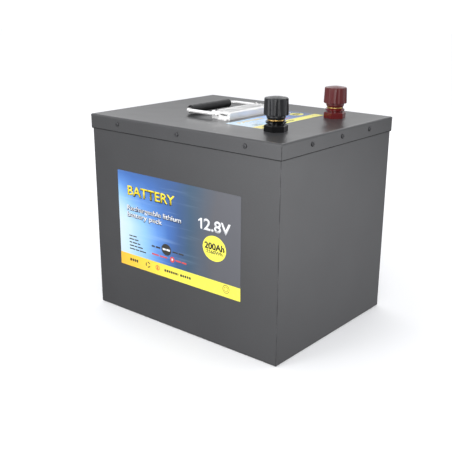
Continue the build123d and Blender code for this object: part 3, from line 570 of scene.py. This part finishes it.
def stud(pole, material):
    outline = stud_outline(pole)
    low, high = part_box(f"{pole}_stud")
    axis = Vector(((low.x + high.x) / 2, (low.y + high.y) / 2, 0))
    rings = []
    for (start, radius, threaded), (end, _, _) in zip(outline, outline[1:]):
        steps = 1
        if threaded:
            steps = max(1, round((end - start) / thread_pitch * thread_rings_per_pitch))
        for step in range(steps + 1):
            height = start + (end - start) * step / steps
            chamfer = max(0, stud_tip - (high.z - height), stud_tip - (height - low.z))
            ring = []
            for i in range(thread_segments):
                turn = 2 * math.pi * i / thread_segments
                reach = threaded_radius(height, turn, start, end, radius) if threaded else radius
                reach -= chamfer
                ring.append(axis + Vector((reach * math.cos(turn), reach * math.sin(turn), height)))
            rings.append(ring)
    mesh = grid_mesh(f"{pole}_threaded_stud", rings)
    new_piece(f"{pole}_threaded_stud", mesh, "pack", material, [f"{pole}_stud"])


# ---------------------------------------------------------------- foam blocks
foam_weld = 0.01 * MM
foam_flat_angle = math.radians(2)
foam_edge = 1.2 * MM
foam_edge_share = 0.3
foam_long_edge = 20 * MM
foam_cuts = 12
foam_lumps = 70
foam_unevenness = 0.2 * MM
# Taken from the noise, so that hardly any of the surface moves outward.
foam_inward = 0.6


def foam_blocks(node, material):
    """The CAD node's foam slabs with softened edges and a slightly uneven, cut surface."""
    shape = bmesh.new()
    shape.from_mesh(frame["nodes"][node].data)
    bmesh.ops.remove_doubles(shape, verts=shape.verts, dist=foam_weld)
    bmesh.ops.dissolve_limit(shape, angle_limit=foam_flat_angle, verts=shape.verts, edges=shape.edges)
    thinnest = min(high - low for low, high in zip(*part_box(node)))
    softness = min(foam_edge, thinnest * foam_edge_share)
    bmesh.ops.bevel(shape, geom=shape.edges[:], offset=softness, segments=3, profile=0.6, affect="EDGES")
    long_edges = [edge for edge in shape.edges if edge.calc_length() > foam_long_edge]
    bmesh.ops.subdivide_edges(shape, edges=long_edges, cuts=foam_cuts, use_grid_fill=True)
    bmesh.ops.recalc_face_normals(shape, faces=shape.faces)
    for vert in shape.verts:
        swell = perlin.noise(vert.co * foam_lumps) - foam_inward
        vert.co += vert.normal * foam_unevenness * swell
    for face in shape.faces:
        face.smooth = True
    mesh = bpy.data.meshes.new(f"{node}_foam")
    shape.to_mesh(mesh)
    shape.free()
    block = new_piece(f"{node}_foam", mesh, "pack", material, [node])


# ---------------------------------------------------------------- printed artwork
# Artwork is laid out in millimetres on a sheet whose x runs to the reader's right and y upwards.
print_thickness = 0.05 * MM
layer_gap = 0.02 * MM
corner_steps = 5
disc_steps = 72
word_rounding = 0.3


def lettering(words, bold=0.0):
    """Words in the built-in face, at their natural size, as a flat mesh."""
    curve = bpy.data.curves.new("lettering", "FONT")
    curve.body = words
    curve.offset = bold
    source = bpy.data.objects.new("lettering", curve)
    bpy.context.scene.collection.objects.link(source)
    bpy.context.view_layer.update()
    mesh = bpy.data.meshes.new_from_object(source.evaluated_get(bpy.context.evaluated_depsgraph_get()))
    bpy.data.objects.remove(source)
    return mesh


def printed_shape(kind, content, layer, origin, right, up):
    """A flat shape set in its layer over a label and given its thickness, as a mesh of its own."""
    outward = right.cross(up)
    flat = bmesh.new()
    if kind == "face":
        flat.faces.new([flat.verts.new((x, y, 0)) for x, y in content])
    else:
        flat.from_mesh(content)
    base = layer * (print_thickness + layer_gap)
    raised = bmesh.ops.extrude_face_region(flat, geom=flat.faces[:])["geom"]
    for vert in flat.verts:
        vert.co = origin + (right * vert.co.x + up * vert.co.y) * MM + outward * base
    for vert in (item for item in raised if isinstance(item, bmesh.types.BMVert)):
        vert.co += outward * print_thickness
    bmesh.ops.recalc_face_normals(flat, faces=flat.faces)
    part = bpy.data.meshes.new("part")
    flat.to_mesh(part)
    flat.free()
    return part


class Artwork:
    """Flat printed shapes gathered by ink, then placed on a label as one thin mesh for each ink."""

    def __init__(self):
        self.shapes = {}
        self.capital = max(vert.co.y for vert in lettering("H").vertices)

    def outline(self, colour, points, layer=0):
        self.shapes.setdefault(colour, []).append(("face", points, layer))

    def bar(self, colour, x, y, width, height, layer=0, radius=0.0):
        """A rectangle from its lower left corner, with round corners if radius is given."""
        if radius <= 0:
            points = [(x, y), (x + width, y), (x + width, y + height), (x, y + height)]
        else:
            corners = [(x + width - radius, y + radius), (x + width - radius, y + height - radius),
                       (x + radius, y + height - radius), (x + radius, y + radius)]
            points = []
            for quarter, (cx, cy) in enumerate(corners):
                for step in range(corner_steps + 1):
                    turn = math.radians(90 * (quarter - 1 + step / corner_steps))
                    points.append((cx + radius * math.cos(turn), cy + radius * math.sin(turn)))
        self.outline(colour, points, layer)

    def disc(self, colour, x, y, width, height):
        """An oval about its centre."""
        turns = [2 * math.pi * i / disc_steps for i in range(disc_steps)]
        points = [(x + width / 2 * math.cos(turn), y + height / 2 * math.sin(turn)) for turn in turns]
        self.outline(colour, points)

    def arc(self, colour, x, y, radius, width, steps, start=0, end=360, layer=0):
        """A ring, or a part of one, as a band of short pieces."""
        inner, outer = radius - width / 2, radius + width / 2
        for step in range(steps):
            a = math.radians(start + (end - start) * step / steps)
            b = math.radians(start + (end - start) * (step + 1) / steps)
            corners = [(inner, a), (outer, a), (outer, b), (inner, b)]
            points = [(x + reach * math.cos(turn), y + reach * math.sin(turn)) for reach, turn in corners]
            self.outline(colour, points, layer)

    def words(self, colour, x, y, lengths, height, gap, layer=0):
        """A line of small print, shown as one rounded block for each word."""
        for length in lengths:
            self.bar(colour, x, y, length, height, layer, radius=height * word_rounding)
            x += length + gap

    def text(self, colour, words, x, y, height, width, layer=0, bold=0.0):
        """Lettering from its lower left corner, made to fill a height of capitals and a width."""
        mesh = lettering(words, bold)
        places = [vert.co.x for vert in mesh.vertices]
        first, last = min(places), max(places)
        for vert in mesh.vertices:
            vert.co.x = x + (vert.co.x - first) * width / (last - first)
            vert.co.y = y + vert.co.y * height / self.capital
        self.shapes.setdefault(colour, []).append(("mesh", mesh, layer))

    def numeral_one(self, colour, x, y, height):
        """A bold figure 1 with a slanting flag, from the lower left corner of its space."""
        stem = 0.2 * height
        left = x + 0.24 * height
        self.outline(colour, [
            (left, y),
            (left + stem, y),
            (left + stem, y + height),
            (left + 0.25 * stem, y + height),
            (x, y + 0.8 * height),
            (x, y + 0.64 * height),
            (left, y + 0.78 * height),
        ])

    def place(self, prefix, inks, origin, right, up):
        """Make one piece for each ink. origin is the sheet's (0, 0) on the label's outer face."""
        for colour, shapes in self.shapes.items():
            gathered = bmesh.new()
            for shape in shapes:
                part = printed_shape(*shape, origin, right, up)
                gathered.from_mesh(part)
                bpy.data.meshes.remove(part)
            mesh = bpy.data.meshes.new(f"{prefix}_{colour}")
            gathered.to_mesh(mesh)
            gathered.free()
            new_piece(f"{prefix}_{colour}", mesh, "pack", inks[colour])


def front_artwork(width):
    """The front label's print. The sheet's origin is the label's lower left corner."""
    art = Artwork()
    art.bar("yellow", 0, 0, width, 16.5)
    art.text("gold", "BATTERY", 17, 96, 11.6, 82, layer=1, bold=0.02)
    art.text("navy", "BATTERY", 17.5, 95.5, 11.6, 82, bold=0.05)
    for words, line, length in (("Rechargeable lithium", 76.2, 94), ("battery pack", 67.4, 62)):
        art.text("white", words, 15, line, 6.0, length, layer=1, bold=0.02)
        art.text("navy", words, 15.3, line - 0.3, 6.0, length, bold=0.065)
    art.numeral_one("white", 137.0, 76.6, 13.0)
    art.text("white", "2.8V", 145.2, 76.6, 13.0, 41.0, bold=0.022)
    art.disc("yellow", 161.5, 56.0, 36.0, 31.2)
    art.text("dark", "200Ah", 146.5, 54.6, 7.4, 30.5, layer=1, bold=0.035)
    art.text("dark", "2560Wh", 149.0, 49.4, 3.9, 25.0, layer=1, bold=0.02)
    small_lines = [[6, 6.5], [9, 6.5], [5, 7.5, 5], [8, 5, 9], [10, 6, 11.5]]
    for row, lengths in enumerate(small_lines):
        art.words("dark", 17, 41.2 - 4.4 * row, lengths, 1.5, 1.1)
    art.words("dark", 57.5, 35.4, [5.5, 8.0], 2.2, 1.6)
    art.disc("dark", 83.0, 36.8, 16.6, 14.8)
    art.words("white", 76.6, 35.6, [5.6, 6.2], 2.4, 0.9, layer=1)
    art.words("dark", 93.6, 35.5, [9.0, 8.5], 1.8, 1.2)
    art.words("red", 57.5, 25.2, [12, 13], 1.9, 1.8)
    art.disc("red", 93.0, 26.2, 7.4, 7.4)
    art.words("white", 91.8, 24.8, [2.4], 3.0, 0, layer=1)
    art.words("red", 98.4, 25.2, [9, 8], 1.9, 1.2)
    art.words("dark", 17, 7.2, [3.2, 2.8, 2.6, 3.0], 4.0, 1.0, layer=1)
    for start in (20, 140, 260):
        art.arc("dark", 49.8, 9.2, 3.4, 1.4, 10, start, start + 80, layer=1)
    art.arc("red", 67.0, 9.2, 3.0, 0.8, 32, layer=1)
    art.bar("red", 66.2, 7.0, 1.6, 4.4, layer=1)
    art.words("dark", 79, 7.4, [3, 3, 2.5, 3, 2.5, 3, 1.5], 3.2, 0.9, layer=1)
    art.words("dark", 106, 7.4, [3, 2.5, 3, 2.5, 3], 3.2, 0.9, layer=1)
    art.arc("ring", 179.5, 10.0, 4.9, 0.9, 48, layer=1)
    art.arc("ring", 179.5, 10.0, 2.9, 0.7, 40, layer=1)
    return art


def top_artwork(width):
    """The lid label's print, read from the terminals' side. The origin is its lower left corner."""
    art = Artwork()
    art.bar("yellow", 0, 0, width, 14.0)
    art.text("gold", "BATTERY", 11, 40.5, 6.2, 50, bold=0.035)
    art.text("white", "Rechargeable lithium", 11, 33.2, 3.3, 54, bold=0.025)
    art.text("white", "battery pack", 11, 27.6, 3.3, 36, bold=0.025)
    art.numeral_one("white", 93.5, 43.0, 7.0)
    art.text("white", "2.8V", 97.6, 43.0, 7.0, 22.6, bold=0.04)
    art.disc("yellow", 111, 30.0, 19.5, 17.0)
    art.text("dark", "200Ah", 103.2, 29.6, 4.0, 15.6, layer=1, bold=0.035)
    art.text("dark", "2560Wh", 104.6, 26.2, 2.1, 12.6, layer=1, bold=0.02)
    for row, lengths in enumerate([[5, 5], [7, 5], [6, 8]]):
        art.words("dark", 11, 22.6 - 2.7 * row, lengths, 1.0, 0.7)
    art.disc("dark", 52, 20.4, 8.6, 8.0)
    art.words("white", 48.9, 19.6, [2.8, 2.8], 1.7, 0.5, layer=1)
    art.words("red", 62, 19.4, [7, 8, 6], 1.8, 0.9)
    art.words("dark", 11, 5.6, [3, 3, 3], 3.0, 0.6, layer=1)
    art.words("dark", 50, 5.6, [5, 4, 6, 5], 3.0, 1.0, layer=1)
    art.arc("ring", 118, 7.2, 3.2, 0.5, 36, layer=1)
    return art


# Each ink's two colours, and how far across the label the first has turned into the second.
white_ink = (rgba(236, 238, 240), rgba(244, 245, 246), 1.0)
dark_ink = (rgba(40, 38, 32), rgba(52, 48, 38), 1.0)
red_ink = (rgba(212, 62, 58), rgba(222, 74, 70), 1.0)
front_inks = {
    "yellow": (rgba(255, 196, 58), rgba(252, 244, 84), 0.55),
    "gold": (rgba(252, 226, 34), rgba(254, 232, 48), 1.0),
    "white": white_ink,
    "dark": dark_ink,
    "red": red_ink,
    "navy": (rgba(24, 58, 116), rgba(30, 52, 84), 1.0),
    "ring": (rgba(150, 132, 44), rgba(158, 140, 50), 1.0),
}
top_inks = {
    "yellow": (rgba(252, 232, 104), rgba(252, 244, 96), 0.4),
    "gold": (rgba(244, 208, 128), rgba(246, 214, 110), 1.0),
    "white": white_ink,
    "dark": dark_ink,
    "red": red_ink,
    "ring": (rgba(176, 156, 56), rgba(184, 166, 66), 1.0),
}


def make_inks(prefix, inks, axis, low, width):
    made = {}
    for name, (colour, second, share) in inks.items():
        made[name] = ink(f"{prefix}_{name}", colour, second, axis, low, low + share * width)
    return made


def print_front_label():
    low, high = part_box("front_label")
    width, height = high.x - low.x, high.z - low.z
    film = label_film("front_label_film", "X", low.x, width, "Z", low.z, height, reach=1.2, tint=0.47)
    frame["nodes"]["front_label"].material_slots[0].material = film
    inks = make_inks("front", front_inks, "X", low.x, width)
    origin = Vector((low.x, low.y - layer_gap, low.z))
    front_artwork(width / MM).place("front_print", inks, origin, Vector((1, 0, 0)), Vector((0, 0, 1)))


def print_top_label():
    low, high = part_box("top_label")
    width, height = high.y - low.y, high.x - low.x
    film = label_film("top_label_film", "Y", low.y, width, "X", high.x, -height, reach=0.66, tint=0.1)
    frame["nodes"]["top_label"].material_slots[0].material = film
    inks = make_inks("top", top_inks, "Y", low.y, width)
    origin = Vector((high.x, low.y, high.z + layer_gap))
    top_artwork(width / MM).place("top_print", inks, origin, Vector((0, 1, 0)), Vector((-1, 0, 0)))


# ---------------------------------------------------------------- studio
floor_size = 16.0
floor_glow = 0.13
wall_radius = 0.45 * floor_size
wall_height = 9.0
wall_sink = 0.01
wall_glow = 1.0
# The room is bright in directions whose unit vector is higher than dim_from, and dim below dim_to.
dim_from = 0.02
dim_to = -0.12
room_colour = (1, 1.012, 1.045, 1)


def backdrop(material):
    """A round white wall just inside the floor's edge, which only the camera sees."""
    shape = bmesh.new()
    bmesh.ops.create_circle(shape, cap_ends=False, segments=96, radius=wall_radius)
    risen = bmesh.ops.extrude_edge_only(shape, edges=shape.edges[:])["geom"]
    for vert in (item for item in risen if isinstance(item, bmesh.types.BMVert)):
        vert.co.z = wall_height
    for vert in shape.verts:
        vert.co.z -= wall_sink
    mesh = bpy.data.meshes.new("backdrop")
    shape.to_mesh(mesh)
    shape.free()
    mesh.materials.append(material)
    wall = bpy.data.objects.new("backdrop", mesh)
    for ray in ("visible_diffuse", "visible_glossy", "visible_transmission", "visible_shadow"):
        setattr(wall, ray, False)
    bpy.context.scene.collection.objects.link(wall)


def paper(name, glow):
    """Plain white paper that gives off a little light of its own."""
    sheet = Finish(name)
    sheet.colour(sheet.mix(sheet.noise(3, 2), rgba(240, 240, 240), rgba(242, 242, 242)))
    sheet.roughness(0.9)
    sheet.shader.inputs["Emission Color"].default_value = (1, 1, 1, 1)
    sheet.shader.inputs["Emission Strength"].default_value = glow
    return sheet.material


def studio():
    """A pale floor that lights nothing and isn't mirrored, with the white wall round it."""
    shape = bmesh.new()
    bmesh.ops.create_grid(shape, x_segments=8, y_segments=8, size=floor_size / 2)
    mesh = bpy.data.meshes.new("floor")
    shape.to_mesh(mesh)
    shape.free()
    mesh.materials.append(paper("floor_paper", floor_glow))
    floor = bpy.data.objects.new("floor", mesh)
    floor.visible_diffuse = False
    floor.visible_glossy = False
    bpy.context.scene.collection.objects.link(floor)
    backdrop(paper("wall_paper", wall_glow))
    bpy.context.scene.view_settings.view_transform = "Standard"


def surroundings(below, above, glows):
    """A plain white room, dimmer below the horizon. Each glow is a soft patch of it, brighter or
    dimmer than the rest, given as its azimuth, elevation, angular radius and added strength."""
    world = bpy.data.worlds.new("studio")
    bpy.context.scene.world = world
    world.use_nodes = True
    tree = world.node_tree
    direction = tree.nodes.new("ShaderNodeTexCoord").outputs["Generated"]
    split = tree.nodes.new("ShaderNodeSeparateXYZ")
    tree.links.new(direction, split.inputs["Vector"])
    brightness = tree.nodes.new("ShaderNodeMapRange")
    tree.links.new(split.outputs["Z"], brightness.inputs["Value"])
    for socket, value in {"From Min": dim_to, "From Max": dim_from, "To Min": below, "To Max": above}.items():
        brightness.inputs[socket].default_value = value
    total = brightness.outputs["Result"]
    for azimuth, elevation, radius, strength in glows:
        nearness = tree.nodes.new("ShaderNodeVectorMath")
        nearness.operation = "DOT_PRODUCT"
        nearness.inputs[1].default_value = toward(azimuth, elevation)
        tree.links.new(direction, nearness.inputs[0])
        glow = tree.nodes.new("ShaderNodeMapRange")
        glow.interpolation_type = "SMOOTHSTEP"
        edge = math.cos(math.radians(radius))
        for socket, value in {"From Min": edge, "From Max": 1, "To Max": strength}.items():
            glow.inputs[socket].default_value = value
        tree.links.new(nearness.outputs["Value"], glow.inputs["Value"])
        added = tree.nodes.new("ShaderNodeMath")
        tree.links.new(total, added.inputs[0])
        tree.links.new(glow.outputs["Result"], added.inputs[1])
        total = added.outputs["Value"]
    background = tree.nodes["Background"]
    background.inputs["Color"].default_value = room_colour
    tree.links.new(total, background.inputs["Strength"])


def softbox(name, azimuth, elevation, distance, width, height, power):
    """A rectangular lamp that faces the middle of the pack."""
    low, high = cad_box
    centre = (low + high) / 2
    direction = toward(azimuth, elevation)
    data = bpy.data.lights.new(name, "AREA")
    data.shape = "RECTANGLE"
    data.size = width
    data.size_y = height
    data.energy = power
    lamp = bpy.data.objects.new(name, data)
    lamp.location = centre + direction * distance
    lamp.rotation_euler = direction.to_track_quat("Z", "Y").to_euler()
    bpy.context.scene.collection.objects.link(lamp)


# ---------------------------------------------------------------- the scene
place_camera()
finishes = make_finishes()
slots = node_slots()
for node, thing in frame["nodes"].items():
    # The labels' own finishes are made with their artwork.
    if slots[node] in finishes:
        for holder in thing.material_slots:
            holder.material = finishes[slots[node]]
# The feet are polished where the hand-turned knobs are satin.
for node, finish in (("negative_base", "black_foot"), ("positive_base", "red_foot")):
    frame["nodes"][node].material_slots[0].material = finishes[finish]
grip_sleeve(finishes["grip_vinyl"])
for pole in ("negative", "positive"):
    stud(pole, finishes["brass"])
for node in ("bottom_pad", "side_pads", "left_pad", "hold_down_foam"):
    foam_blocks(node, finishes["foam"])
print_front_label()
print_top_label()
studio()
glows = [(-20, -7, 26, 3.9), (134, -11, 22, 2.7), (159, 1, 18, -0.9), (218, 6, 26, -0.8)]
surroundings(below=0.1, above=1.0, glows=glows)
softbox("corner", 38, 12, distance=1.0, width=0.35, height=0.35, power=3)
softbox("back", 218, 26, distance=1.6, width=1.9, height=0.45, power=4.4)
softbox("left_strip", -17, 25, distance=1.5, width=0.5, height=0.5, power=4)
